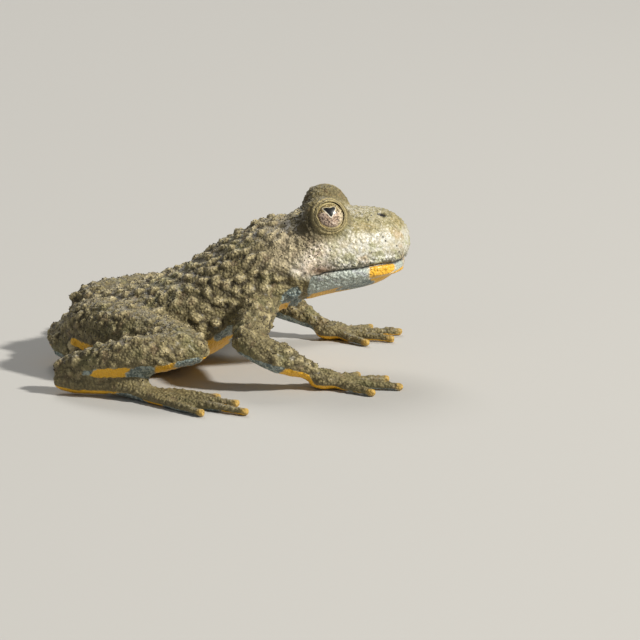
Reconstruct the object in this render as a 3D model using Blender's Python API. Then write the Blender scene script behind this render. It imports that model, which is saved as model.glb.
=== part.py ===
"""Yellow-bellied fire toad at rest with its head raised, life size.

The toad faces +X, its right side is towards -Y and the floor is at Z = 0. It is drawn from the tip of the
snout: X is negative behind the snout, Y is the distance to its left, Z is the height above the floor, and all
sizes are millimetres for a toad of NOMINAL_LENGTH. At the end everything moves so that the origin lies
under the middle. Head, lower jaw and torso are one lofted body, parted by thin cuts, and the limbs join it.
"""

import math
import random

import bmesh
import bpy
import numpy as np
from mathutils import Matrix, Vector
from mathutils.bvhtree import BVHTree

# Driving sizes
SNOUT_TO_VENT = 0.044
NOMINAL_LENGTH = 44.0
MM = SNOUT_TO_VENT / NOMINAL_LENGTH
GAP = 0.3
WELD = 0.0008

# The body from the snout's tip backwards, as five sizes of each cross-section: distance behind the tip,
# height of the back, height of the belly, half width, and how square the back is, where 2 is an ellipse
HEAD_STATIONS = (
    (0.0, 13.6, 13.6, 0.0, 2.0),
    (0.2, 14.7, 12.5, 1.4, 2.0),
    (0.8, 15.7, 11.4, 2.65, 2.05),
    (1.7, 16.45, 10.3, 3.7, 2.1),
    (2.9, 16.95, 9.5, 4.65, 2.2),
    (4.7, 17.1, 8.9, 5.55, 2.4),
    (7.0, 17.1, 8.45, 6.35, 2.7),
    (9.4, 17.15, 7.95, 6.9, 2.9),
)
TORSO_STATIONS = (
    (12.0, 16.55, 7.1, 7.25, 2.5),
    (15.4, 15.75, 5.1, 7.6, 2.25),
    (18.7, 14.3, 2.9, 8.4, 2.2),
    (21.7, 12.4, 1.2, 9.15, 2.2),
    (24.7, 10.5, 0.1, 9.6, 2.2),
    (27.7, 9.2, -0.35, 9.6, 2.2),
    (30.7, 8.3, -0.35, 8.9, 2.2),
    (33.7, 7.2, -0.3, 7.5, 2.15),
    (36.2, 5.9, 0.2, 5.6, 2.1),
    (38.2, 4.5, 1.1, 3.3, 2.0),
    (39.3, 2.8, 2.8, 0.0, 2.0),
)
STEPS_PER_STATION = 2
BODY_SEGMENTS = 28
DOME_ANGLE = math.radians(41.0)
BELLY_ROUNDNESS = 2.4
JAW_LEVEL = 11.4
WIDEST_SHARE = 0.42
LOWEST_JAW_SHARE = 0.3
JAW_TO_FLANK = (9.0, 17.0)

# Cuts through the body, seen from the side as distance behind the snout and height
NECK_CUT = ((13.4, 16.5), (12.4, 6.0))
MOUTH_LINE = ((-2.0, 11.6), (6.5, 11.6), (9.3, 11.35), (10.5, 11.05), (11.0, 9.4), (11.2, 3.0))
LIP_RADIUS = 0.42
LIP_SINK = 0.23
LIP_FRONT = 0.97
LIP_DISTANCES = (10.0, 8.0, 6.0, 4.2, 2.8, 1.8)
UPPER_LIP = 12.1
LOWER_LIP = 11.05

# Eyes and lids; the opening between the lids is wider than high, and LID_ASPECT is its height over its width
BULGE_PLACE = (-9.2, 4.15, 16.5)
BULGE_SIZE = (2.8, 2.4, 2.5)
BROW_PLACE = (-9.3, 2.2, 16.2)
BROW_SIZE = (3.1, 2.2, 1.75)
EYE_PLACE = (-8.87, 4.65, 16.87)
EYE_RADIUS = 1.72
EYE_FORWARD_TURN = 20.0
EYE_UPWARD_TURN = 22.0
LID_OPENING = 1.6
LID_ASPECT = 0.89
LID_FLARE = (0.97, 1.12)
LID_CUT = (0.5, 3.5)
LID_RIM_RADIUS = 0.22
LID_RIM_FORWARD = 1.1

# Nostrils, seen from above
NOSTRIL_PLACE = (-3.1, 1.6)
NOSTRIL_RADIUS = 0.32

# Joints of the limbs on the left side; the right side mirrors them, and the left shifts some of them a little
FORELEG = {
    "shoulder": (-16.2, 5.6, 8.2),
    "elbow": (-17.3, 13.2, 5.0),
    "wrist": (-10.3, 12.0, 1.7),
}
HINDLEG = {
    "hip": (-34.0, 4.2, 5.0),
    "knee": (-22.9, 15.3, 5.0),
    "heel": (-36.6, 13.2, 2.6),
    "instep": (-29.6, 16.3, 1.2),
}
STRAIGHT = (0.0, 0.0, 0.0)
SIDES = {
    "left": {
        "mirror": 1,
        "hand": (0.7, 0.6, 0.0),
        "knee": (0.5, 0.5, 0.0),
        "instep": (-0.3, 0.5, 0.0),
        "turn": 6.0,
    },
    "right": {"mirror": -1, "hand": STRAIGHT, "knee": STRAIGHT, "instep": STRAIGHT, "turn": 0.0},
}

# Sizes along each limb: share of its length, sideways radius and upright radius; and how far its middle bows
UPPER_ARM = ((0.0, 2.5, 2.6), (0.5, 2.25, 2.3), (0.97, 1.7, 1.75))
FOREARM = ((0.0, 1.6, 1.65), (0.45, 1.85, 1.8), (0.96, 1.2, 1.1))
FOREARM_BOW = (0.0, 0.7, 0.1)
THIGH = ((0.0, 3.2, 3.3), (0.3, 3.5, 3.3), (0.68, 3.0, 2.8), (0.98, 2.0, 2.1))
SHANK = ((0.0, 1.9, 1.9), (0.33, 2.35, 2.3), (0.68, 1.85, 1.9), (1.0, 1.25, 1.35))
SHANK_BOW = (0.0, 1.85, 0.4)
TARSUS = ((0.0, 1.1, 1.15), (0.5, 1.0, 1.0), (1.0, 1.5, 0.95))

# Hands and feet: heading in degrees and length of each finger and toe, and the sizes of palm, sole and web
FINGERS = ((-52.0, 4.6), (-22.0, 6.0), (8.0, 6.9), (38.0, 5.2))
FINGER_RADIUS = 0.52
FINGER_ROOT = (0.9, 0.8)
PALM_PLACE = (1.2, -0.1, -0.75)
PALM_SIZE = (2.0, 1.75, 1.0)
TOES = ((-2.0, 5.6), (9.0, 8.2), (20.0, 10.8), (32.0, 13.2), (46.0, 9.8))
TOE_RADIUS = 0.5
TOE_SPREAD = (22.0, 0.0245)
TOE_START = 0.4
SOLE_FRONT = (1.8, 0.8, 0.85, 1.7, 0.8)
TOE_HUB = (0.8, 0.4, 0.75)
TIP_HEIGHT = 0.42
WEB_REACH = 0.82
WEB_SCALLOP = 0.62
WEB_THICKNESS = 0.5

# Warts: how many, smallest and largest radius, height as a share of the radius
WART_SEED = 7
TORSO_WARTS = (112, 0.5, 1.0)
HEAD_WARTS = (30, 0.38, 0.72)
THIGH_WARTS = (10, 0.45, 0.72)
SHANK_WARTS = (8, 0.42, 0.65)
ARM_WARTS = (4, 0.4, 0.58)
WART_HEIGHT = 0.52
WART_SIDES = 6
WART_SPACING = 1.12
WART_ROOT = (1.12, -0.32)
WART_SHOULDER = (0.66, 0.72)

BACK_COLOUR = (0.33, 0.29, 0.17)
JAW_COLOUR = (0.27, 0.31, 0.28)
EYE_COLOUR = (0.42, 0.29, 0.12)


def clear_scene():
    for obj in list(bpy.data.objects):
        bpy.data.objects.remove(obj)


def material(name, colour, roughness):
    made = bpy.data.materials.new(name)
    made.use_nodes = True
    shader = made.node_tree.nodes["Principled BSDF"]
    shader.inputs["Base Color"].default_value = (*colour, 1.0)
    shader.inputs["Roughness"].default_value = roughness
    return made


def smooth_through(stations, steps):
    """Tuples on one smooth curve through the stations, with the given number of steps between neighbours."""
    points = np.array(stations, float)
    spans = np.linalg.norm(np.diff(points, axis=0), axis=1)
    slopes = np.diff(points, axis=0) / spans[:, None]
    tangents = np.empty_like(points)
    tangents[0], tangents[-1] = slopes[0], slopes[-1]
    before, after = spans[:-1, None], spans[1:, None]
    tangents[1:-1] = (slopes[:-1] * after + slopes[1:] * before) / (before + after)
    curve = []
    for i, span in enumerate(spans):
        for t in np.arange(steps) / steps:
            start = (1 + 2 * t) * (1 - t) ** 2 * points[i] + t * (1 - t) ** 2 * span * tangents[i]
            end = t * t * (3 - 2 * t) * points[i + 1] - t * t * (1 - t) * span * tangents[i + 1]
            curve.append(tuple(start + end))
    return [*curve, tuple(points[-1])]


def mesh_object(name, bm, finish=None):
    """A named object from a bmesh in millimetres, with its normals pointing out."""
    bmesh.ops.recalc_face_normals(bm, faces=bm.faces)
    mesh = bpy.data.meshes.new(name)
    bm.to_mesh(mesh)
    bm.free()
    obj = bpy.data.objects.new(name, mesh)
    bpy.context.scene.collection.objects.link(obj)
    if finish:
        mesh.materials.append(finish)
    return obj


def loft(name, rings, first, last, finish=None):
    """A closed body through rings of equal count, with a point at each end."""
    bm = bmesh.new()
    loops = [[bm.verts.new(p) for p in ring] for ring in rings]
    for near, far in zip(loops, loops[1:]):
        for a, b, c, d in zip(near, near[1:] + near[:1], far[1:] + far[:1], far):
            bm.faces.new((a, b, c, d))
    for loop, tip in ((loops[0], first), (loops[-1], last)):
        point = bm.verts.new(tip)
        for a, b in zip(loop, loop[1:] + loop[:1]):
            bm.faces.new((a, b, point))
    return mesh_object(name, bm, finish)


def named(name, obj, finish):
    """Gives a finished piece its name and its one material."""
    obj.name = obj.data.name = name
    obj.data.materials.clear()
    obj.data.materials.append(finish)
    return obj


def keep_largest(obj):
    """Welds slivers and leaves the largest closed surface, which drops scraps and fills sealed hollows."""
    bm = bmesh.new()
    bm.from_mesh(obj.data)
    bmesh.ops.remove_doubles(bm, verts=bm.verts, dist=WELD)
    unseen = set(bm.verts)
    shells = []
    while unseen:
        shell, edge = set(), {unseen.pop()}
        while edge:
            shell |= edge
            edge = {e.other_vert(v) for v in edge for e in v.link_edges} - shell
        unseen -= shell
        shells.append(shell)
    largest = max(shells, key=len)
    bmesh.ops.delete(bm, geom=[v for v in bm.verts if v not in largest], context="VERTS")
    bm.to_mesh(obj.data)
    bm.free()


def combine(obj, others, operation, solver="EXACT"):
    """Joins, cuts or intersects obj with the other closed meshes in one Boolean, and removes them."""
    tools = bpy.data.collections.new("tools")
    bpy.context.scene.collection.children.link(tools)
    for other in others:
        bpy.context.scene.collection.objects.unlink(other)
        tools.objects.link(other)
    boolean = obj.modifiers.new("combine", "BOOLEAN")
    boolean.operation = operation
    boolean.solver = solver
    boolean.operand_type = "COLLECTION"
    boolean.collection = tools
    bpy.context.view_layer.update()
    evaluated = obj.evaluated_get(bpy.context.evaluated_depsgraph_get())
    mesh = bpy.data.meshes.new_from_object(evaluated)
    obj.modifiers.clear()
    obj.data = mesh
    for other in others:
        bpy.data.objects.remove(other)
    bpy.data.collections.remove(tools)
    keep_largest(obj)
    return obj


def copy_of(obj, grown=0.0):
    """A copy, with its surface moved outwards along its normals."""
    twin = obj.copy()
    twin.data = obj.data.copy()
    bpy.context.scene.collection.objects.link(twin)
    normals = [v.normal.copy() for v in twin.data.vertices]
    for vertex, normal in zip(twin.data.vertices, normals):
        vertex.co += normal * grown
    return twin


def clear_of(obj, neighbours):
    """Cuts obj back so that it meets its neighbours face to face across the gap."""
    return combine(obj, [copy_of(n, GAP) for n in neighbours], "DIFFERENCE")


def cut_flat(obj, point, normal):
    """Removes what lies beyond a plane and closes the cut with a flat face."""
    bm = bmesh.new()
    bm.from_mesh(obj.data)
    geometry = [*bm.verts, *bm.edges, *bm.faces]
    cut = bmesh.ops.bisect_plane(bm, geom=geometry, plane_co=point, plane_no=normal, clear_outer=True)
    edges = [e for e in cut["geom_cut"] if isinstance(e, bmesh.types.BMEdge)]
    bmesh.ops.holes_fill(bm, edges=edges)
    bmesh.ops.recalc_face_normals(bm, faces=bm.faces)
    bm.to_mesh(obj.data)
    bm.free()
    return obj


def stand_on_floor(obj):
    return cut_flat(obj, (0, 0, 0), (0, 0, -1))


def power(value, exponent):
    return math.copysign(abs(value) ** exponent, value)


def body_ring(distance, back, belly, half_width, back_roundness):
    """One upright cross-section: a round back over a flatter belly, widest at the jaw or low on the flank."""
    low = belly + WIDEST_SHARE * (back - belly)
    jaw_end, flank = JAW_TO_FLANK
    share = min(max((distance - jaw_end) / (flank - jaw_end), 0.0), 1.0)
    at_jaw = min(max(JAW_LEVEL, belly + LOWEST_JAW_SHARE * (back - belly)), back)
    middle = at_jaw + (low - at_jaw) * share
    ring = []
    for i in range(BODY_SEGMENTS):
        angle = 2 * math.pi * i / BODY_SEGMENTS
        rising = math.sin(angle) >= 0
        roundness = back_roundness if rising else BELLY_ROUNDNESS
        height = back - middle if rising else middle - belly
        y = half_width * power(math.cos(angle), 2 / roundness)
        z = middle + height * power(math.sin(angle), 2 / roundness)
        ring.append((-distance, y, z))
    return ring


def whole_body():
    """Head and torso in one piece, from the snout's tip to the vent."""
    stations = smooth_through(HEAD_STATIONS + TORSO_STATIONS, STEPS_PER_STATION)
    rings = [body_ring(*station) for station in stations[1:-1]]
    tip, vent = stations[0], stations[-1]
    return loft("whole_body", rings, (-tip[0], 0, tip[1]), (-vent[0], 0, vent[1]))


def cut_at_neck(body, forward):
    """The part of the body in front of the neck cut, or behind it, half a gap short of the cut."""
    (top_x, top_z), (low_x, low_z) = NECK_CUT
    along = Vector((low_x - top_x, 0, top_z - low_z)).normalized()
    outward = Vector((-along.z, 0, along.x)) * (1 if forward else -1)
    point = Vector((-top_x, 0, top_z)) - outward * GAP / 2
    return cut_flat(copy_of(body), point, outward)


def side_prism(name, outline, half_width):
    """A closed outline of distance and height, extended to both sides."""
    bm = bmesh.new()
    near = [bm.verts.new((-x, -half_width, z)) for x, z in outline]
    far = [bm.verts.new((-x, half_width, z)) for x, z in outline]
    bm.faces.new(near)
    bm.faces.new(far)
    for a, b, c, d in zip(near, near[1:] + near[:1], far[1:] + far[:1], far):
        bm.faces.new((a, b, c, d))
    return mesh_object(name, bm)


def jaw_region(offset):
    """Everything under the mouth line and in front of the jaw's end, moved out from the line by offset."""
    line = [(x + (offset if z < 11 else 0), z + offset) for x, z in MOUTH_LINE]
    return side_prism("jaw_region", [*line, (line[0][0], line[-1][1])], 20.0)


def half_width_at(distance, height):
    """Half the width of the lofted body at that distance and height, from its own cross-section."""
    stations = smooth_through(HEAD_STATIONS + TORSO_STATIONS, 12)
    near = min(stations, key=lambda s: abs(s[0] - distance))
    ring = body_ring(*near)
    return max((abs(y) for _, y, z in ring if abs(z - height) < 0.9), default=near[3])


def tube(name, stations, sides, steps=1, finish=None):
    """A limb or lip through stations of x, y, z, sideways radius and upright radius, with domed ends."""
    path = smooth_through(stations, steps)
    places = [Vector(p[:3]) for p in path]
    radii = [p[3:] for p in path]
    start = (places[0] - places[1]).normalized() * radii[0][1]
    end = (places[-1] - places[-2]).normalized() * radii[-1][1]
    first, last = places[0] + start, places[-1] + end
    reach, narrow = math.sin(DOME_ANGLE), math.cos(DOME_ANGLE)
    places = [places[0] + start * reach, *places, places[-1] + end * reach]
    radii = [[r * narrow for r in radii[0]], *radii, [r * narrow for r in radii[-1]]]
    rings = []
    for i, (place, (wide, high)) in enumerate(zip(places, radii)):
        along = (places[min(i + 1, len(places) - 1)] - places[max(i - 1, 0)]).normalized()
        across = along.cross(Vector((0, 0, 1))).normalized()
        upward = across.cross(along)
        angles = [2 * math.pi * (k + 0.5) / sides for k in range(sides)]
        rings.append([place + across * math.cos(a) * wide + upward * math.sin(a) * high for a in angles])
    return loft(name, rings, first, last, finish)


def lip(name, level):
    """A soft rim that follows the mouth line round the snout, half sunk in the jaw."""
    side = [(-x, half_width_at(x, JAW_LEVEL) - LIP_SINK, level) for x in LIP_DISTANCES]
    front = [(-LIP_FRONT, 0.0, level)]
    path = side + front + [(x, -y, z) for x, y, z in reversed(side)]
    return tube(name, [(*p, LIP_RADIUS, LIP_RADIUS * 1.15) for p in path], 6, steps=2)


def ball(name, centre, radii, segments=18, rings=11):
    bm = bmesh.new()
    bmesh.ops.create_uvsphere(bm, u_segments=segments, v_segments=rings, radius=1.0)
    bmesh.ops.scale(bm, vec=radii, verts=bm.verts)
    bmesh.ops.translate(bm, vec=centre, verts=bm.verts)
    return mesh_object(name, bm)


def gaze(mirror):
    """The direction in which an eye looks: sideways, a little forward and a little up."""
    forward, upward = math.radians(EYE_FORWARD_TURN), math.radians(EYE_UPWARD_TURN)
    level = math.cos(upward)
    return Vector((math.sin(forward) * level, mirror * math.cos(forward) * level, math.sin(upward)))


def eye_centre(mirror):
    return Vector(mirrored(EYE_PLACE, mirror))


def facing(bm, direction, centre):
    """Turns what was made along +Z to the direction, and moves it to the centre."""
    turn = direction.to_track_quat("Z", "Y").to_matrix().to_4x4()
    bmesh.ops.transform(bm, matrix=Matrix.Translation(centre) @ turn, verts=bm.verts)


def lid_rim(mirror):
    """The thick edge of both lids: a ring round the opening, half sunk in the bulge over the eye."""
    major, sides, turns = LID_OPENING + LID_RIM_RADIUS, 6, 20
    bm = bmesh.new()
    loops = []
    for i in range(turns):
        around = 2 * math.pi * i / turns
        loop = []
        for k in range(sides):
            angle = 2 * math.pi * k / sides
            reach = major + LID_RIM_RADIUS * math.cos(angle)
            forward = LID_RIM_FORWARD + LID_RIM_RADIUS * math.sin(angle)
            upward = reach * math.sin(around) * LID_ASPECT
            loop.append(bm.verts.new((reach * math.cos(around), upward, forward)))
        loops.append(loop)
    for near, far in zip(loops, loops[1:] + loops[:1]):
        for a, b, c, d in zip(near, near[1:] + near[:1], far[1:] + far[:1], far):
            bm.faces.new((a, b, c, d))
    facing(bm, gaze(mirror), eye_centre(mirror))
    return mesh_object("lid_rim", bm)


def lid_opening(mirror):
    """The hole between the lids, widening outwards."""
    narrow, wide = (LID_OPENING * share for share in LID_FLARE)
    near, far = LID_CUT
    middle = Matrix.Translation((0, 0, (near + far) / 2))
    bm = bmesh.new()
    bmesh.ops.create_cone(
        bm, cap_ends=True, segments=20, radius1=narrow, radius2=wide, depth=far - near, matrix=middle
    )
    bmesh.ops.scale(bm, vec=(1.0, LID_ASPECT, 1.0), verts=bm.verts)
    facing(bm, gaze(mirror), eye_centre(mirror))
    return mesh_object("lid_opening", bm)


def eyeball(side, mirror, finish):
    bm = bmesh.new()
    bmesh.ops.create_uvsphere(bm, u_segments=18, v_segments=11, radius=EYE_RADIUS)
    facing(bm, gaze(mirror), eye_centre(mirror))
    return mesh_object("eye_" + side, bm, finish)


def nostril(head, mirror):
    """A small pit set on the snout's own surface."""
    surface = surface_of(head)
    x, y = NOSTRIL_PLACE
    place = surface.ray_cast(Vector((x, mirror * y, 30.0)), Vector((0, 0, -1)))[0]
    return ball("nostril", place, (NOSTRIL_RADIUS, NOSTRIL_RADIUS * 0.8, NOSTRIL_RADIUS), 8, 6)


def surface_of(obj):
    return BVHTree.FromPolygons([v.co for v in obj.data.vertices], [p.vertices for p in obj.data.polygons])


def wart(place, normal, radius, height, rng):
    """A low cone with a blunt top, its root sunk in the skin."""
    bm = bmesh.new()
    turn = rng.uniform(0, math.pi)
    loops = []
    root, shoulder = WART_ROOT, WART_SHOULDER
    for reach, level in ((radius * root[0], root[1]), (radius * shoulder[0], height * shoulder[1])):
        angles = [turn + 2 * math.pi * k / WART_SIDES for k in range(WART_SIDES)]
        loops.append([bm.verts.new((reach * math.cos(a), reach * math.sin(a), level)) for a in angles])
    for a, b, c, d in zip(loops[0], loops[0][1:] + loops[0][:1], loops[1][1:] + loops[1][:1], loops[1]):
        bm.faces.new((a, b, c, d))
    bm.faces.new(loops[0])
    top = bm.verts.new((0, 0, height))
    for a, b in zip(loops[1], loops[1][1:] + loops[1][:1]):
        bm.faces.new((a, b, top))
    facing(bm, normal, place)
    return mesh_object("wart", bm)


def random_places(obj, rng):
    """Endless places on the surface with their normals, evenly by area."""
    obj.data.calc_loop_triangles()
    triangles = obj.data.loop_triangles
    weights = np.cumsum([t.area for t in triangles])
    corners = obj.data.vertices
    while True:
        index = min(int(np.searchsorted(weights, rng.random() * weights[-1])), len(triangles) - 1)
        chosen = triangles[index]
        a, b = sorted((rng.random(), rng.random()))
        p, q, r = (corners[i].co for i in chosen.vertices)
        yield p * a + q * (b - a) + r * (1 - b), chosen.normal.copy()


def add_warts(obj, plan, allowed, neighbours, rng):
    """Sets warts of varied size on obj, apart from one another and clear of the neighbouring pieces."""
    count, smallest, largest = plan
    surfaces = [surface_of(n) for n in neighbours]
    placed = []
    places = random_places(obj, rng)
    for _ in range(count * 60):
        if len(placed) == count:
            break
        place, normal = next(places)
        radius = smallest + (largest - smallest) * rng.random() ** 1.4
        if not allowed(place, normal):
            continue
        if any((place - p).length < (radius + r) * WART_SPACING for p, _, r in placed):
            continue
        if any(s.find_nearest(place)[3] < radius + 2.2 * GAP for s in surfaces):
            continue
        placed.append((place, normal, radius))
    domes = [wart(p, n, r, r * WART_HEIGHT * rng.uniform(0.85, 1.15), rng) for p, n, r in placed]
    return combine(obj, domes, "UNION", "MANIFOLD")


def mirrored(place, mirror, shift=(0.0, 0.0, 0.0)):
    x, y, z = (p + s for p, s in zip(place, shift))
    return x, mirror * y, z


def between(start, end, share):
    return tuple(a + (b - a) * share for a, b in zip(start, end))


def limb(name, start, end, sizes, bow, sides, finish):
    """A limb from one joint to the next, through its sizes and bowed by that much at its middle."""
    stations = []
    for share, wide, high in sizes:
        swing = math.sin(math.pi * share)
        place = (p + b * swing for p, b in zip(between(start, end, share), bow))
        stations.append((*place, wide, high))
    return tube(name, stations, sides, 2, finish)


def digit(name, root, angle, length, radius, joints):
    """One finger or toe, arched over its joints and swelling at them, ending in a blunt tip on the floor."""
    direction = Vector((math.cos(angle), math.sin(angle), 0))
    stations = [(*root, radius * 1.15, radius * 1.15)]
    for k in range(1, joints + 1):
        share = k / joints
        place = Vector(root) + direction * length * share
        drop = (1 - share) ** 1.5
        thick = radius * (1.0 if k < joints else 0.82)
        stations.append((place.x, place.y, TIP_HEIGHT + (root[2] - TIP_HEIGHT) * drop, thick, thick))
        if k < joints:
            thin = Vector(root) + direction * length * (share + 0.5 / joints)
            low = TIP_HEIGHT + (root[2] - TIP_HEIGHT) * drop * 0.6
            stations.append((thin.x, thin.y, low, thick * 0.84, thick * 0.84))
    return tube(name, stations, 7)


def hand(side, placing, finish):
    """Palm and four free fingers that turn a little inwards."""
    mirror = placing["mirror"]
    wrist = Vector(mirrored(FORELEG["wrist"], mirror, placing["hand"]))
    palm_centre = wrist + Vector(mirrored(PALM_PLACE, mirror))
    palm = ball("hand_" + side, palm_centre, PALM_SIZE, 14, 8)
    palm.data.materials.append(finish)
    digits = []
    for angle, length in FINGERS:
        heading = math.radians(angle + placing["turn"]) * mirror
        root = palm_centre + Vector((math.cos(heading), math.sin(heading), 0)) * FINGER_ROOT[0]
        root.z = FINGER_ROOT[1]
        digits.append(digit("finger", tuple(root), heading, length, FINGER_RADIUS, 2))
    return stand_on_floor(combine(palm, digits, "UNION"))


def web(root, tips, thickness):
    """The skin between the toes, cut back between each pair of tips: a flat fan round the root."""
    outline = [root + Vector((-1.0, 0, 0))]
    for i, tip in enumerate(tips):
        outline.append(root + (tip - root) * WEB_REACH)
        if i + 1 < len(tips):
            outline.append(root + ((tip + tips[i + 1]) / 2 - root) * WEB_SCALLOP)
    bm = bmesh.new()
    levels = []
    for z in (-0.1, thickness):
        rim = [bm.verts.new((p.x, p.y, z)) for p in outline]
        middle = bm.verts.new((root.x, root.y, z))
        for a, b in zip(rim, rim[1:] + rim[:1]):
            bm.faces.new((a, b, middle))
        levels.append(rim)
    low, high = levels
    for a, b, c, d in zip(low, low[1:] + low[:1], high[1:] + high[:1], high):
        bm.faces.new((a, b, c, d))
    return mesh_object("web", bm)


def foot(side, placing, finish):
    """Long heel bone, five toes and the web between them."""
    mirror = placing["mirror"]
    heel = mirrored(HINDLEG["heel"], mirror)
    instep = Vector(mirrored(HINDLEG["instep"], mirror, placing["instep"]))
    start = (heel[0] - 0.2, heel[1] + 0.9 * mirror, TARSUS[0][2])
    stations = [(*between(start, instep, share), wide, high) for share, wide, high in TARSUS]
    ahead, aside, height, wide, high = SOLE_FRONT
    stations.append((instep.x + ahead, instep.y + aside * mirror, height, wide, high))
    sole = tube("foot_" + side, stations, 10, 2, finish)
    ahead, aside, height = TOE_HUB
    hub = Vector((instep.x + ahead, instep.y + aside * mirror, height))
    middle, spread = TOE_SPREAD
    pieces, tips = [], []
    for angle, length in TOES:
        heading = math.radians(angle + placing["turn"]) * mirror
        direction = Vector((math.cos(heading), math.sin(heading), 0))
        root = hub + Vector((0, mirror * (angle - middle) * spread, 0)) + direction * TOE_START
        pieces.append(digit("toe", tuple(root), heading, length, TOE_RADIUS, 3))
        tips.append(root + direction * length)
    pieces.append(web(hub, tips, WEB_THICKNESS))
    return stand_on_floor(combine(sole, pieces, "UNION"))


def on_back(place, normal):
    return normal.z > -0.2 and place.z > 3.4


def on_upper_head(place, normal):
    behind_eye = place.x < BULGE_PLACE[0] - 1.2 or (place.x < BULGE_PLACE[0] + 1.0 and abs(place.y) < 2.2)
    return behind_eye and normal.z > -0.25 and place.z > JAW_LEVEL - 1.5


def on_limb(place, normal):
    return normal.z > 0.25


def settle_at_origin(objects):
    """Scales from millimetres to metres and puts the origin under the middle of the toad's box."""
    corners = np.array([v.co for obj in objects for v in obj.data.vertices])
    low, high = corners.min(axis=0), corners.max(axis=0)
    centre = Vector(((low[0] + high[0]) / 2, (low[1] + high[1]) / 2, 0.0))
    move = Matrix.Scale(MM, 4) @ Matrix.Translation(-centre)
    for obj in objects:
        obj.data.transform(move)
        obj.data.shade_smooth()
        obj.data.set_sharp_from_angle(angle=math.radians(40))


def main():
    clear_scene()
    rng = random.Random(WART_SEED)
    back = material("warty_back", BACK_COLOUR, 0.55)
    grey = material("slate_jaw", JAW_COLOUR, 0.45)
    gold = material("bronze_iris", EYE_COLOUR, 0.15)

    body = whole_body()
    lips = [lip("upper_lip", UPPER_LIP), lip("lower_lip", LOWER_LIP)]
    front = combine(cut_at_neck(body, True), lips, "UNION")
    jaw = named("lower_jaw", combine(copy_of(front), [jaw_region(-GAP / 2)], "INTERSECT"), grey)
    head = named("head", combine(front, [jaw_region(GAP / 2)], "DIFFERENCE"), back)
    torso = named("torso", stand_on_floor(cut_at_neck(body, False)), back)
    bpy.data.objects.remove(body)

    eyes = []
    for side, placing in SIDES.items():
        mirror = placing["mirror"]
        bulge = ball("bulge", mirrored(BULGE_PLACE, mirror), BULGE_SIZE)
        brow = ball("brow", mirrored(BROW_PLACE, mirror), BROW_SIZE)
        head = combine(head, [bulge, brow, lid_rim(mirror)], "UNION")
        socket = ball("socket", eye_centre(mirror), (EYE_RADIUS + GAP,) * 3)
        head = combine(head, [socket, lid_opening(mirror)], "DIFFERENCE")
        eyes.append(eyeball(side, mirror, gold))
    head = combine(head, [nostril(head, 1), nostril(head, -1)], "DIFFERENCE")

    limbs = []
    for side, placing in SIDES.items():
        mirror = placing["mirror"]
        shoulder, elbow = (mirrored(FORELEG[joint], mirror) for joint in ("shoulder", "elbow"))
        wrist = mirrored(FORELEG["wrist"], mirror, placing["hand"])
        hip, heel = (mirrored(HINDLEG[joint], mirror) for joint in ("hip", "heel"))
        knee = mirrored(HINDLEG["knee"], mirror, placing["knee"])
        arm = limb("upper_arm_" + side, shoulder, elbow, UPPER_ARM, STRAIGHT, 12, back)
        arm = clear_of(arm, [torso])
        fore = limb("forearm_" + side, elbow, wrist, FOREARM, mirrored(FOREARM_BOW, mirror), 12, back)
        fore = clear_of(fore, [arm])
        palm = clear_of(hand(side, placing, grey), [fore])
        upper = limb("thigh_" + side, hip, knee, THIGH, STRAIGHT, 14, back)
        upper = clear_of(upper, [torso])
        lower = limb("shank_" + side, knee, heel, SHANK, mirrored(SHANK_BOW, mirror), 12, back)
        lower = clear_of(lower, [upper, torso])
        sole = clear_of(foot(side, placing, grey), [lower, upper, torso])
        limbs += [arm, fore, palm, upper, lower, sole]
        add_warts(arm, ARM_WARTS, on_limb, [torso, fore], rng)
        add_warts(fore, ARM_WARTS, on_limb, [arm, palm], rng)
        add_warts(upper, THIGH_WARTS, on_limb, [torso, lower], rng)
        add_warts(lower, SHANK_WARTS, on_limb, [upper, sole, torso], rng)
    add_warts(torso, TORSO_WARTS, on_back, [head, *limbs], rng)
    add_warts(head, HEAD_WARTS, on_upper_head, [torso, jaw, *eyes], rng)

    settle_at_origin([head, jaw, torso, *eyes, *limbs])


main()
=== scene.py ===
"""Looks of a life-size yellow-bellied toad at rest: skin, spicules, eyes, floor, lights and camera.

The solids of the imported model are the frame. One skin grows over all of them, so that no seam shows,
and the eyes replace the plain eyeballs. Shapes are worked out in millimetres and brought to metres at
the end; noise sizes in the materials are in metres.
"""

from functools import partial
import math

import bmesh
import bpy
import numpy as np
from mathutils import Matrix, Vector
from mathutils.bvhtree import BVHTree
from mathutils.kdtree import KDTree


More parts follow.
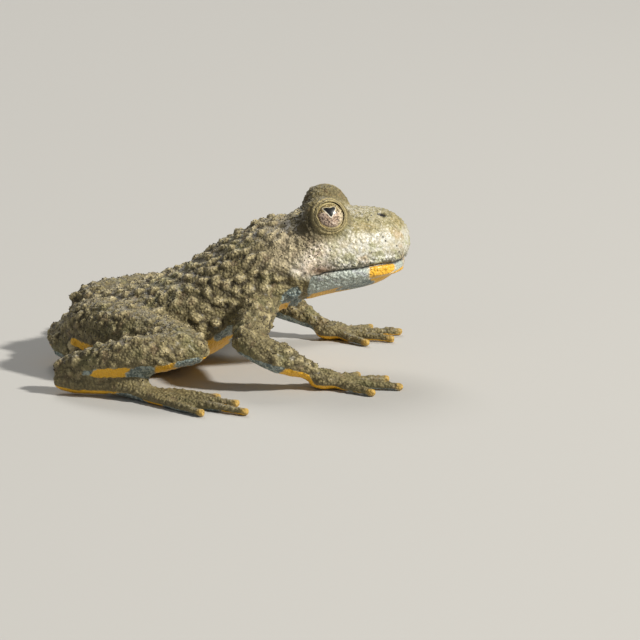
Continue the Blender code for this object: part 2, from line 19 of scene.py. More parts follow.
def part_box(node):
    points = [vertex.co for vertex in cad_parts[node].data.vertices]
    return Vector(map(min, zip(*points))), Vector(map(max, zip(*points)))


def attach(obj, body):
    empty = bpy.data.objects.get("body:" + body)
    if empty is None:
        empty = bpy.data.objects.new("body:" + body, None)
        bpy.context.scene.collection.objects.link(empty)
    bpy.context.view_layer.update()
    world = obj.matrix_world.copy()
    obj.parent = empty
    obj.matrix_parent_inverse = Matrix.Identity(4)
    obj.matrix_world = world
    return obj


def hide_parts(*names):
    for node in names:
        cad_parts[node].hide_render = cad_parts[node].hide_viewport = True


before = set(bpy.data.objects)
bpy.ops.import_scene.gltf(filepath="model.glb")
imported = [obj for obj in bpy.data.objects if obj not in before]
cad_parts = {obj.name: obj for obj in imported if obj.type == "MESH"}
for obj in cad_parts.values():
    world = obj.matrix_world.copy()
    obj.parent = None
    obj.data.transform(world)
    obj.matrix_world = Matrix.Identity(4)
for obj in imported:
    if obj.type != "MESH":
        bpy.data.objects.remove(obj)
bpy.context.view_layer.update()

bl_info = {
    "name": "Yellow-bellied toad",
    "version": (1, 0, 0),
    "blender": (4, 5, 0),
    "location": "3D View > Sidebar > Toad",
    "description": "Skin, spicules, eyes and setting of a life-size toad",
    "category": "Object",
}

MM = 0.001
FLESH = sorted(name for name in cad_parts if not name.startswith("eye_"))
SIDES = {"right": -1, "left": 1}


def node_box(name):
    """The lowest and highest corners of a node, in millimetres."""
    return [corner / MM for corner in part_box(name)]


EYE_BOXES = {side: node_box("eye_" + side) for side in SIDES}
EYES = {side: (low + high) / 2 for side, (low, high) in EYE_BOXES.items()}
EYE_RADIUS = (EYE_BOXES["right"][1].x - EYE_BOXES["right"][0].x) / 2
MIDDLE = (EYES["right"].y + EYES["left"].y) / 2
SNOUT_X = node_box("head")[1].x
MOUTH_Z = node_box("lower_jaw")[1].z + 0.15
JAW_BACK = SNOUT_X - node_box("lower_jaw")[0].x

# Millimetres out from the eye's axis or, for the reach and the front, from its centre
LID_INNER = 1.3
LID_RIM = 1.45
LID_OUTER = 2.0
LID_FOLD = 2.02
LID_REACH = 2.6
LID_FRONT = 0.15

# Millimetres behind the snout's tip, beside the middle or above the mouth
CREASES = (0.62, 1.15)
NOSTRIL_BEHIND = 3.1
NOSTRIL_ASIDE = 1.6
CHEEK = 10.6
# Where the painted shadow behind each eye bulge lies
BULGE_SHADOW_BEHIND = 11.3
NECK = 13.0
TIP_RISE = 2.0

# How fast the lower lip's edge sinks from the tip backwards, and what the lights point at in metres
LIP_SLOPE = 0.235
AIM = Vector((0.004, 0.0, 0.010))

# Millimetres: beyond all reach, over the toad, the least wart's height and a full wart's radius
FAR = 99.0
OVERHEAD = 40.0
LEAST_RELIEF = 0.08
FULL_RADIUS = 0.95

# Share of one step of smoothing, most tries for a row of warts, and the picture's width in pixels
SMOOTHING = 0.6
WART_TRIES = 16000
PICTURE = 640

# Colours that are not in the panel
SAND = (0.62, 0.52, 0.34)
DRAB = (0.48, 0.42, 0.26)
MOSS = (0.33, 0.33, 0.13)
RUST = (0.46, 0.28, 0.08)
KHAKI = (0.36, 0.30, 0.12)
PEAT = (0.09, 0.08, 0.03)
UMBER = (0.17, 0.16, 0.07)
CHALK = (0.8, 0.76, 0.66)
# Pink tone and painted highlights of the cheek's granules
BLUSH_AND_HIGHLIGHT = (0.92, 0.76, 0.62)
SOOT = (0.06, 0.06, 0.04)
STRAW = (0.72, 0.62, 0.36)
MIST = (0.50, 0.55, 0.48)
PITCH = (0.03, 0.04, 0.035)
LILAC = (0.40, 0.40, 0.46)
APRICOT = (0.9, 0.66, 0.3)
BUFF = (0.72, 0.66, 0.5)
TAWNY = (0.50, 0.33, 0.16)
OCHRE = (0.66, 0.40, 0.07)
HORN = (0.035, 0.026, 0.016, 1.0)
PEACH = (0.95, 0.84, 0.70)
IVORY = (0.95, 0.90, 0.74)
BLACK = (0.004, 0.004, 0.004)
WARM = (1.0, 0.97, 0.91)
MILD = (1.0, 0.98, 0.94)
COOL = (0.92, 0.96, 1.0)
HAZE = (0.86, 0.87, 0.88, 1.0)

Length = partial(bpy.props.FloatProperty, unit="LENGTH")
Angle = partial(bpy.props.FloatProperty, subtype="ANGLE")
Power = partial(bpy.props.FloatProperty, unit="POWER")
Colour = partial(bpy.props.FloatVectorProperty, subtype="COLOR")
Whole = bpy.props.IntProperty
Plain = bpy.props.FloatProperty


class SkinSettings(bpy.types.PropertyGroup):
    """Sizes of the skin, its warts and its grooves."""

    grain: Length(name="Grain", description="Size of the skin's mesh cells", default=0.00025)
    closing: Length(name="Closing", description="Swelling of the solids that closes cuts", default=0.00018)
    wart_height: Length(name="Wart height", description="Height of the largest warts", default=0.00056)
    mouth_depth: Length(name="Mouth depth", description="Depth between the lips", default=0.00034)
    nostril_depth: Length(name="Nostril depth", description="Depth of the nostrils", default=0.00045)
    spicule: Length(name="Spicules", description="Radius of the dark points on warts", default=0.000075)
    sinking: Length(name="Sinking", description="Depth of the bare skin in the solids", default=0.0002)
    most_triangles: Whole(
        name="Most triangles",
        description="The skin is thinned to this where it is flattest",
        default=196000,
    )
    seed: Whole(name="Seed", description="Picks the places of warts and spicules", default=5)


class SkinColours(bpy.types.PropertyGroup):
    """Main colours of the skin."""

    back: Colour(name="Back", description="Olive tan of the back", default=(0.27, 0.22, 0.095))
    # Pale wart tops: painted light on the tops of the warts, also used for pale specks
    wart: Colour(name="Warts", description="Pale tops of the warts", default=(0.66, 0.55, 0.30))
    # Painted shade: the dark colour laid into the hollows between the warts, also used for dark specks
    hollow_shade: Colour(name="Hollows", description="Dark skin between the warts", default=(0.045, 0.033, 0.011))
    olive: Colour(name="Olive", description="Greenish blotches", default=(0.20, 0.20, 0.075))
    brown: Colour(name="Brown", description="Blotches and mouth corner", default=(0.22, 0.12, 0.06))
    snout: Colour(name="Snout", description="Pale sides of the snout", default=(0.58, 0.565, 0.485))
    ink: Colour(name="Ink", description="Dots, mouth line and nostrils", default=(0.02, 0.017, 0.013))
    lid: Colour(name="Lids", description="Golden tan of the lids", default=(0.68, 0.56, 0.27))
    slate: Colour(name="Slate", description="Lower lip and belly marks", default=(0.11, 0.145, 0.14))
    fleck: Colour(name="Flecks", description="Pale speckles in the slate", default=(0.38, 0.45, 0.41))
    yellow: Colour(name="Yellow", description="Belly and lip patches", default=(0.84, 0.45, 0.015))


class EyeSettings(bpy.types.PropertyGroup):
    """Direction, sizes and colours of the eyes."""

    forward: Angle(name="Forward", description="How far the gaze turns forwards", default=math.radians(20))
    upward: Angle(name="Upward", description="How far the gaze turns up", default=math.radians(22))
    opening: Length(name="Opening", description="Half the width between the lids", default=0.0016)
    aspect: Plain(name="Aspect", description="Height of the opening over its width", default=0.89)
    iris: Length(name="Iris", description="Half the width inside the golden edge", default=0.0014)
    pupil: Length(name="Pupil", description="Half the width of the pupil", default=0.00075)
    pupil_rise: Length(name="Pupil rise", description="Way above the iris's middle", default=0.00035)
    pupil_back: Length(name="Pupil back", description="Way behind the iris's middle", default=0.0002)
    copper: Colour(name="Copper", description="Lower part of the iris", default=(0.52, 0.36, 0.25))
    bronze: Colour(name="Bronze", description="Upper part of the iris", default=(0.36, 0.26, 0.09))
    cream: Colour(name="Cream", description="Front of the iris", default=(0.70, 0.58, 0.36))
    gold: Colour(name="Gold", description="Specks above and the edge", default=(0.90, 0.78, 0.42))
    # Dark specks and cleft of the iris; its outer edge is painted shade under the lids
    dark: Colour(name="Dark", description="Specks, cleft and outer edge", default=(0.035, 0.02, 0.01))


class StageSettings(bpy.types.PropertyGroup):
    """Camera, lights and floor."""

    distance: Length(name="Distance", description="From the camera to the snout's plane", default=0.37)
    elevation: Angle(name="Elevation", description="Camera's angle down", default=math.radians(12))
    scale: Plain(name="Scale", description="Picture pixels to a millimetre", default=9.3)
    tip_pixel: bpy.props.FloatVectorProperty(
        name="Snout tip",
        description="Place of the snout's tip in the picture",
        size=2,
        default=(410.0, 240.0),
    )
    key: Power(name="Key", description="Power of the key light", default=16.0)
    fill: Power(name="Fill", description="Power of the fill light", default=0.5)
    rim: Power(name="Rim", description="Power of the light on the far side", default=3.4)
    sky: Plain(name="Sky", description="Strength of the light from all round", default=0.2)
    floor: Colour(name="Floor", description="Colour of the floor", default=(0.50, 0.49, 0.465))


class Wire:
    """A node's output that can stand in Python expressions. Each operation adds one Math node."""

    def __init__(self, graph, socket):
        self.graph = graph
        self.socket = socket

    def __add__(self, other):
        return self.graph.math("ADD", self, other)

    __radd__ = __add__

    def __sub__(self, other):
        return self.graph.math("SUBTRACT", self, other)

    def __rsub__(self, other):
        return self.graph.math("SUBTRACT", other, self)

    def __mul__(self, other):
        return self.graph.math("MULTIPLY", self, other)

    __rmul__ = __mul__

    def __truediv__(self, other):
        return self.graph.math("DIVIDE", self, other)

    def __pow__(self, other):
        return self.graph.math("POWER", self, other)

    def rise(self, low, high):
        """0 at low and 1 at high, with a soft step between them; low may be the larger."""
        settings = {"interpolation_type": "SMOOTHSTEP"}
        return self.graph.node("ShaderNodeMapRange", settings, {0: self, 1: low, 2: high})

    def ridge(self, centre, width):
        """1 at the centre, falling to 0 at the width on both sides."""
        return self.graph.math("ABSOLUTE", self - centre, 0.0).rise(width, 0.0)

    def wave(self, period):
        """A sine between 0 and 1."""
        return self.graph.math("SINE", self * (2 * math.pi / period), 0.0) * 0.5 + 0.5

    def most(self, other):
        return self.graph.math("MAXIMUM", self, other)

    def least(self, other):
        return self.graph.math("MINIMUM", self, other)


class Graph:
    """A new material and the nodes that feed its Principled shader."""

    def __init__(self, name):
        self.material = bpy.data.materials.new(name)
        self.material.use_nodes = True
        self.tree = self.material.node_tree
        self.shader = self.tree.nodes["Principled BSDF"]

    def node(self, kind, settings=None, inputs=None, output=0):
        made = self.tree.nodes.new(kind)
        for name, value in (settings or {}).items():
            setattr(made, name, value)
        for name, value in (inputs or {}).items():
            self.feed(made.inputs[name], value)
        return Wire(self, made.outputs[output])

    def feed(self, socket, value):
        if isinstance(value, Wire):
            self.tree.links.new(value.socket, socket)
        else:
            socket.default_value = value

    def math(self, operation, first, second):
        return self.node("ShaderNodeMath", {"operation": operation}, {0: first, 1: second})

    def blend(self, share, first, second):
        """Two colours mixed by share."""
        first, second = (c if isinstance(c, Wire) else (*c, 1.0) for c in (first, second))
        return self.node("ShaderNodeMix", {"data_type": "RGBA"}, {0: share, 6: first, 7: second}, 2)

    def attribute(self, name, output="Fac"):
        return self.node("ShaderNodeAttribute", {"attribute_name": name}, output=output)

    def attributes(self, *names):
        return (self.attribute(name) for name in names)

    def place(self):
        return self.node("ShaderNodeTexCoord", output="Object")

    def noise(self, place, size, detail=3.0, roughness=0.5):
        """Noise from 0 to 1 with features of about the size."""
        inputs = {"Vector": place, "Scale": 1 / size, "Detail": detail, "Roughness": roughness}
        return self.node("ShaderNodeTexNoise", inputs=inputs)

    def cells(self, place, size):
        """Distance to the middle of the nearest of scattered cells of about the size."""
        inputs = {"Vector": place, "Scale": 1 / size}
        return self.node("ShaderNodeTexVoronoi", inputs=inputs, output="Distance")

    def bump(self, height, distance, strength):
        inputs = {"Height": height, "Distance": distance, "Strength": strength}
        self.feed(self.shader.inputs["Normal"], self.node("ShaderNodeBump", inputs=inputs))

    def finish(self, **sockets):
        """Feeds or sets the shader's sockets; an underscore stands for the space in a socket's name."""
        for name, value in sockets.items():
            self.feed(self.shader.inputs[name.replace("_", " ")], value)
        return self.material


def select_only(*objects):
    bpy.ops.object.select_all(action="DESELECT")
    for obj in objects:
        obj.select_set(True)
    bpy.context.view_layer.objects.active = objects[-1]


def linked(name, data):
    obj = bpy.data.objects.new(name, data)
    bpy.context.scene.collection.objects.link(obj)
    return obj


def eye_axes(side):
    """The eye's own axes as columns: along the lids, up, and the gaze."""
    eye = bpy.context.scene.toad_eyes
    level = math.cos(eye.upward)
    sideways = SIDES[side] * math.cos(eye.forward)
    gaze = Vector((math.sin(eye.forward) * level, sideways * level, math.sin(eye.upward)))
    return gaze.to_track_quat("Z", "Y").to_matrix()


def step(values, low, high):
    """0 at low and 1 at high, smooth between; low may be the larger."""
    share = np.clip((values - low) / (high - low), 0.0, 1.0)
    return share * share * (3.0 - 2.0 * share)


def ridge(values, width):
    """1 where values are 0, falling to nothing over about the width on both sides."""
    return np.exp(-((values / width) ** 2))


def wobble(points, size, seed):
    """A smooth random field, mostly between -1 and 1, with features of about the size."""
    rng = np.random.default_rng(seed)
    total = np.zeros(len(points))
    for _ in range(9):
        direction = rng.normal(size=3)
        direction /= np.linalg.norm(direction)
        total += np.sin(points @ direction * (rng.uniform(0.7, 1.5) * math.pi / size) + rng.uniform(0, 7))
    return total / 3.2


class Hide:
    """The skin's mesh as arrays: places, edges, and fields that can be smoothed over the surface."""

    def __init__(self, obj):
        self.mesh = obj.data
        count = len(self.mesh.vertices)
        self.places = np.empty(count * 3, np.float32)
        self.mesh.vertices.foreach_get("co", self.places)
        self.places = self.places.reshape(-1, 3).astype(float)
        ends = np.empty(len(self.mesh.edges) * 2, np.int32)
        self.mesh.edges.foreach_get("vertices", ends)
        self.near, self.far = ends.reshape(-1, 2).T
        self.count = count
        self.degree = np.bincount(self.near, minlength=count) + np.bincount(self.far, minlength=count)

    def store(self):
        self.mesh.vertices.foreach_set("co", self.places.astype(np.float32).ravel())
        self.mesh.update()

    def normals(self):
        """Normals of the shape as it is now."""
        self.store()
        normals = np.empty(self.count * 3, np.float32)
        self.mesh.vertex_normals.foreach_get("vector", normals)
        return normals.reshape(-1, 3).astype(float)

    def around(self, field):
        """The mean of a field over each point's neighbours."""
        total = np.bincount(self.near, field[self.far], self.count)
        total += np.bincount(self.far, field[self.near], self.count)
        return total / self.degree

    def softened(self, field, rounds, weight=1.0):
        """A field evened out over the surface, as much as the weight says at each point."""
        for _ in range(rounds):
            field = field + (self.around(field) - field) * SMOOTHING * weight
        return field

    def soften(self, rounds, weight=1.0):
        """Smooths the shape, and gives back the volume that smoothing takes."""
        normals = self.normals()
        before = self.places.copy()
        for axis in range(3):
            self.places[:, axis] = self.softened(self.places[:, axis], rounds, weight)
        lost = np.einsum("ij,ij->i", before - self.places, normals)
        lost = self.softened(lost, rounds * 3)
        self.places += normals * (lost * weight)[:, None]

    def highest_around(self, field, rounds):
        for _ in range(rounds):
            wide = field.copy()
            np.maximum.at(wide, self.near, field[self.far])
            np.maximum.at(wide, self.far, field[self.near])
            field = wide
        return field

    def push(self, amount):
        """Moves each point along its normal."""
        self.places += self.normals() * amount[:, None]

    def keep(self, name, values):
        """Stores a field as a mesh attribute that the materials read."""
        attribute = self.mesh.attributes.new(name, "FLOAT", "POINT")
        attribute.data.foreach_set("value", values.astype(np.float32))

    def tree(self):
        """A search tree of the points as they are now."""
        tree = KDTree(self.count)
        for index, place in enumerate(self.places):
            tree.insert(place, index)
        tree.balance()
        return tree


def swollen_copy(name, amount):
    """A welded copy of a node in millimetres, swollen along its normals."""
    bm = bmesh.new()
    bm.from_mesh(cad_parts[name].data)
    bmesh.ops.scale(bm, vec=(1 / MM,) * 3, verts=bm.verts)
    bmesh.ops.remove_doubles(bm, verts=bm.verts, dist=0.002)
    bm.normal_update()
    for vertex, place in [(v, v.co + v.normal * amount) for v in bm.verts]:
        vertex.co = place
    mesh = bpy.data.meshes.new(name + "_flesh")
    bm.to_mesh(mesh)
    bm.free()
    return linked(name + "_flesh", mesh)


def closed_skin(grain, closing):
    """One closed mesh of even cells round all the swollen flesh."""
    copies = [swollen_copy(name, closing) for name in FLESH]
    select_only(*copies)
    bpy.ops.object.join()
    skin = bpy.context.view_layer.objects.active
    skin.name = skin.data.name = "skin"
    remesh = skin.modifiers.new("cells", "REMESH")
    remesh.mode = "VOXEL"
    remesh.voxel_size = grain
    bpy.ops.object.modifier_apply(modifier=remesh.name)
    keep_largest(skin)
    return skin


def keep_largest(obj):
    """Leaves only the largest closed surface of a mesh."""
    bm = bmesh.new()
    bm.from_mesh(obj.data)
    unseen = set(bm.verts)
    shells = []
    while unseen:
        shell, edge = set(), {unseen.pop()}
        while edge:
            shell |= edge
            edge = {e.other_vert(v) for v in edge for e in v.link_edges} - shell
        unseen -= shell
        shells.append(shell)
    largest = max(shells, key=len)
    bmesh.ops.delete(bm, geom=[v for v in bm.verts if v not in largest], context="VERTS")
    bm.to_mesh(obj.data)
    bm.free()


def refine(obj, wanted):
    """Halves the edges whose ends are both wanted."""
    bm = bmesh.new()
    bm.from_mesh(obj.data)
    edges = [e for e in bm.edges if wanted[e.verts[0].index] and wanted[e.verts[1].index]]
    bmesh.ops.subdivide_edges(bm, edges=edges, cuts=1, use_grid_fill=True)
    bmesh.ops.triangulate(bm, faces=[f for f in bm.faces if len(f.verts) > 4])
    bm.to_mesh(obj.data)
    bm.free()


def thin_out(obj, most):
    """Collapses the flattest edges until the mesh has no more than so many triangles."""
    count = sum(len(p.vertices) - 2 for p in obj.data.polygons)
    if count > most:
        select_only(obj)
        modifier = obj.modifiers.new("thin out", "DECIMATE")
        modifier.ratio = most / count
        bpy.ops.object.modifier_apply(modifier=modifier.name)


def tree_of(names):
    """A search tree of nodes' triangles in millimetres, and which name each triangle belongs to."""
    corners, faces, owners = [], [], []
    for index, name in enumerate(names):
        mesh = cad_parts[name].data
        start = len(corners)
        corners += [v.co / MM for v in mesh.vertices]
        faces += [[start + i for i in p.vertices] for p in mesh.polygons]
        owners += [index] * len(mesh.polygons)
    return BVHTree.FromPolygons(corners, faces), np.array(owners)


def distances_to(name, places, reach):
    """Each place's distance to a node, up to the reach."""
    tree, _ = tree_of([name])
    found = (tree.find_nearest(Vector(p), reach)[3] for p in places)
    return np.array([reach if d is None else d for d in found])


def nearest_nodes(places):
    """For each flesh node, 1 at the places that lie nearest to it."""
    tree, owners = tree_of(FLESH)
    nearest = owners[[tree.find_nearest(Vector(p))[2] for p in places]]
    return {name: (nearest == index).astype(float) for index, name in enumerate(FLESH)}


class Regions:
    """Where on the toad each point of the skin lies, mostly as soft masks from 0 to 1."""

    def __init__(self, hide):
        x, y, self.height = hide.places.T
        self.behind = SNOUT_X - x
        self.up = hide.softened(hide.normals()[:, 2], 6)
        own = {name: hide.softened(mask, 5) for name, mask in nearest_nodes(hide.places).items()}
        self.head = own["head"]
        self.jaw = own["lower_jaw"]
        self.torso = own["torso"]
        self.hands = own["hand_left"] + own["hand_right"]
        self.feet = own["foot_left"] + own["foot_right"]
        self.limbs = np.clip(1.0 - self.head - self.jaw - self.torso - self.hands - self.feet, 0.0, 1.0)
        self.find_mouth(hide.places)
        self.find_lids(hide.places)
        self.nostrils = self.nostril_distance(hide.places)
        self.tips = self.tip_distance(hide, own)
        self.lip_edge = MOUTH_Z - 0.05 - LIP_SLOPE * self.behind
        below = step(self.up, -0.2, -0.6) * (1.0 - self.head * step(self.behind, 12.5, 11.0))
        throat = self.jaw * step(self.height, self.lip_edge + 0.1, self.lip_edge - 0.5)
        self.belly = np.clip(np.maximum(below * (1.0 - self.jaw), throat), 0.0, 1.0)

    def find_mouth(self, places):
        """The line between the lips, in front a little above the solids' gap, and what lies below."""
        reach = 3.0
        to_jaw = distances_to("lower_jaw", places, reach)
        across = distances_to("head", places, reach) - to_jaw + 0.4 * step(self.behind, 6.0, 3.0)
        lips = step(self.behind, JAW_BACK - 0.1, JAW_BACK - 0.8)
        lips *= step(self.height, MOUTH_Z - 1.1, MOUTH_Z - 0.7)
        lips *= step(to_jaw, 1.3, 0.9)
        self.mouth = ridge(across, 0.2) * lips
        under = step(across, -0.1, 0.1) * lips
        self.jaw = np.maximum(self.jaw, under)
        self.head = np.minimum(self.head, 1.0 - under)

    def find_lids(self, places):
        """For the nearer eye: distance, way out from its axis, way along it, and how far up on the lids."""
        aspect = bpy.context.scene.toad_eyes.aspect
        self.eye_distance = np.full(len(places), FAR)
        self.lid_out, self.lid_along, self.lid_up = (np.zeros(len(places)) for _ in range(3))
        for side, centre in EYES.items():
            local = (places - np.array(centre)) @ np.array(eye_axes(side))
            distance = np.linalg.norm(local, axis=1)
            near = distance < self.eye_distance
            out = np.hypot(local[:, 0], local[:, 1] / aspect)
            self.eye_distance[near] = distance[near]
            self.lid_out[near] = out[near]
            self.lid_along[near] = local[near, 2]
            self.lid_up[near] = (local[:, 1] / np.maximum(out, 0.01))[near]

    def nostril_distance(self, places):
        """Level distance to the nearer nostril, which is longer than wide."""
        surface, _ = tree_of(["head"])
        distance = np.full(len(places), FAR)
        for sign in SIDES.values():
            above = Vector((SNOUT_X - NOSTRIL_BEHIND, MIDDLE + NOSTRIL_ASIDE * sign, OVERHEAD))
            pit = surface.ray_cast(above, Vector((0, 0, -1)))[0]
            apart = (places - np.array(pit)) * (0.72, 1.0, 0.0)
            apart[places[:, 2] < pit.z - 1.0] = FAR
            distance = np.minimum(distance, np.linalg.norm(apart, axis=1))
        return distance

    def tip_distance(self, hide, own):
        """Distance to the nearest tip of a finger or toe."""
        distance = np.full(hide.count, FAR)
        for name in ("hand_left", "hand_right", "foot_left", "foot_right"):
            low, high = node_box(name)
            root = np.array((low.x * 0.6 + high.x * 0.4, (low.y + high.y) / 2, 1.0))
            reach = np.linalg.norm(hide.places - root, axis=1)
            reach[(own[name] < 0.5) | (hide.places[:, 0] < root[0])] = 0.0
            tips = np.flatnonzero((reach >= hide.highest_around(reach, 9)) & (reach > 2.0))
            for tip in hide.places[tips]:
                distance = np.minimum(distance, np.linalg.norm(hide.places - tip, axis=1))
        return distance


def even_out(hide, regions, sinking):
    """Takes off the solids' own coarse warts and cuts, and returns the warts' points and heights."""
    bare = regions.head * step(regions.behind, 8.5, 10.5) + regions.torso + regions.limbs
    bare = np.clip(bare, 0.0, 1.0)
    bare *= step(regions.eye_distance, 2.5, 3.4)
    normals = hide.normals()
    before = hide.places.copy()
    hide.soften(26, bare)
    relief = np.einsum("ij,ij->i", before - hide.places, normals)
    hide.push(-sinking * bare)
    relief -= hide.softened(relief, 30)
    peaks = (relief >= hide.highest_around(relief, 3)) & (relief > LEAST_RELIEF) & (bare > 0.6)
    return np.flatnonzero(peaks), relief


def trim_bulges(hide, regions):
    """Takes the backs of both eye bulges in, where they rise over the nape."""
    back = step(regions.behind, 10.4, 11.6) * step(regions.behind, 14.0, 12.4)
    back *= step(regions.height, 16.2, 17.2)
    hide.push(-0.3 * hide.softened(back, 4))


def heel_rounding(hide, regions):
    """The way each point moves to round off the heels, which are blunt in the solids."""
    x, y, _ = hide.places.T
    heels = np.zeros(hide.count)
    for side, sign in SIDES.items():
        back = node_box("foot_" + side)[0].x
        near = step(x, back + 2.8, back + 1.2) * step(sign * (y - MIDDLE), 8.5, 10.0)
        heels = np.maximum(heels, near * (regions.feet + regions.limbs))
    moved = [hide.softened(hide.places[:, axis], 60, heels) for axis in range(3)]
    return np.stack(moved, axis=1) - hide.places


def wart_plans(regions):
    """Rows from large to small: least and largest radius, height share, extra space and where they grow."""
    trunk = np.clip(regions.torso + regions.limbs, 0.0, 1.0)
    back = regions.torso * step(regions.up, -0.35, 0.1)
    limbs = regions.limbs * step(regions.up, -0.5, 0.0)
    nape = regions.head * step(regions.behind, 11.5, 12.8)
    cheek = regions.head * step(regions.behind, 8.5, 10.5) * step(regions.height, MOUTH_Z - 3.0, MOUTH_Z)
    nape = np.maximum(nape, cheek * step(regions.behind, 11.0, 13.0))
    brow = regions.head * step(regions.eye_distance, 2.7, 3.2) * step(regions.behind, 5.5, 8.0)
    flank = trunk * step(regions.up, -0.7, -0.3)
    belly_edge = trunk * step(regions.up, -0.8, -0.5)
    paws = (regions.feet + regions.hands) * step(regions.tips, 0.8, 1.6) * step(regions.up, -0.1, 0.3)
    face = np.maximum(regions.head, 0.8 * regions.jaw * (1.0 - regions.belly))
    face *= step(regions.lid_out, 2.0, 2.3) * step(regions.mouth, 0.1, 0.02)
    return (
        (0.66, 1.0, 1.0, 0.2, np.maximum(back, nape) * step(regions.eye_distance, 4.4, 5.0)),
        (0.4, 0.66, 0.95, 0.12, np.maximum.reduce([back, limbs, nape])),
        (0.25, 0.4, 0.85, 0.05, np.maximum(flank, 0.9 * cheek)),
        (0.2, 0.36, 1.0, 0.1, paws),
        (0.15, 0.27, 0.75, 0.0, np.maximum.reduce([face, brow, belly_edge])),
    )


def scatter_warts(hide, regions, first, relief, rng):
    """Places, radii and height shares of all warts: the solids' own, then ever smaller ones between."""
    places = hide.places[first]
    radii = np.minimum(0.5 + relief[first] * 1.3, 0.98)
    shares = np.ones(len(first))
    crowding = 0.9 + 0.2 * wobble(hide.places, 2.2, 31)
    for smallest, largest, share, space, mask in wart_plans(regions):
        for index in rng.permutation(np.flatnonzero(mask > 0.5))[:WART_TRIES]:
            radius = smallest + (largest - smallest) * rng.random() ** 1.3
            room = (radii + radius) * (crowding[index] + space * rng.random())
            if (((places - hide.places[index]) ** 2).sum(axis=1) < room * room).any():
                continue
            places = np.vstack([places, hide.places[index]])
            radii = np.append(radii, radius)
            shares = np.append(shares, share * rng.uniform(0.6, 1.15))
    return places, radii, shares


def raise_warts(hide, tree, places, radii, heights, rng):
    """The height that all warts add at each point: uneven, slightly stretched domes with blunt tips."""
    uneven = 1.0 + 0.3 * wobble(hide.places, 0.7, 11) + 0.15 * wobble(hide.places, 0.3, 12)
    height = np.zeros(hide.count)
    for place, radius, tall in zip(places, radii, heights):
        index = np.array([found[1] for found in tree.find_range(place, radius * 1.45)])
        apart = hide.places[index] - place
        long_way = rng.normal(size=3)
        long_way /= np.linalg.norm(long_way)
        apart -= np.outer(apart @ long_way, long_way) * rng.uniform(0.0, 0.5)
        share = np.linalg.norm(apart, axis=1) / radius * uneven[index]
        rounded = np.clip(1.0 - share**2, 0.0, 1.0) ** 1.4
        pointed = np.clip(1.0 - share, 0.0, 1.0) ** 1.3
        dome = 0.68 * rounded + 0.32 * pointed
        height[index] = np.maximum(height[index], tall * dome)
    return height


def shape_lids(hide, regions):
    """Lids drawn back to the iris and hugging the eyeball, with folds round them that are deepest above."""
    eye = bpy.context.scene.toad_eyes
    opening = eye.opening / MM
    out = regions.lid_out
    on_lid = step(regions.lid_along, 0.1, 0.45) * step(out, opening + 2.0, opening + 1.4)
    above = 0.35 + 0.65 * step(regions.lid_up, -0.35, 0.4)
    folds = -0.1 * ridge(out - LID_FOLD, 0.1) * above + 0.08 * ridge(out - 2.2, 0.12) * above
    folds += -0.1 * ridge(out - 2.42, 0.1) * above + 0.05 * ridge(out - 2.62, 0.12) * above
    hide.push(on_lid * folds)
    for side, centre in EYES.items():
        axes = np.array(eye_axes(side))
        local = (hide.places - np.array(centre)) @ axes
        out = np.hypot(local[:, 0], local[:, 1] / eye.aspect)
        near = np.linalg.norm(local, axis=1) < LID_REACH
        margin = (local[:, 2] > LID_FRONT) & (out < LID_OUTER) & near
        drawn = np.clip(out - LID_INNER, 0.0, None) * (LID_OUTER - opening)
        drawn = opening + drawn / (LID_OUTER - LID_INNER)
        local[margin, :2] *= (drawn / np.maximum(out, 0.05))[margin, None]
        distance = np.linalg.norm(local, axis=1)
        out = np.hypot(local[:, 0], local[:, 1] / eye.aspect)
        ramp = EYE_RADIUS + 0.04 + 0.5 * np.clip(out - opening, 0.0, None)
        ramp[(distance > LID_REACH) | (local[:, 2] < LID_FRONT)] = FAR
        wanted = np.minimum(distance, ramp)
        inner = distance < EYE_RADIUS + 0.34
        hugging = EYE_RADIUS + 0.03 + 0.3 * (distance - EYE_RADIUS - 0.26).clip(0.0)
        wanted[inner] = np.minimum(wanted, hugging)[inner]
        local *= (wanted / np.maximum(distance, 0.1))[:, None]
        hide.places = np.array(centre) + local @ axes.T


def shape_face(hide, regions, mouth_depth, nostril_depth):
    """The groove between the lips, pits with faint rims for nostrils, and creases near the snout's tip."""
    nostrils = 0.07 * ridge(regions.nostrils - 0.58, 0.16) - nostril_depth * ridge(regions.nostrils, 0.3)
    creases = sum(ridge(regions.behind - place, 0.1) for place in CREASES)
    high = step(regions.height, MOUTH_Z + 0.5, MOUTH_Z + 1.5)
    high *= step(regions.height, MOUTH_Z + 4.5, MOUTH_Z + 3.5)
    creases *= high
    hide.push(nostrils - mouth_depth * regions.mouth - 0.05 * creases * regions.head)


def roughen(hide, regions):
    """The skin's fine unevenness, and pads under the tips of fingers and toes."""
    rough = 0.03 * wobble(hide.places, 0.45, 21) + 0.018 * wobble(hide.places, 0.22, 22)
    warty = np.clip(regions.head * step(regions.behind, 3.0, 8.0) + regions.torso + regions.limbs, 0.2, 1.0)
    smooth = step(regions.mouth, 0.3, 0.0) * step(regions.lid_out, 1.7, 2.4)
    hide.push(rough * warty * smooth + 0.07 * ridge(regions.tips - 0.35, 0.4))


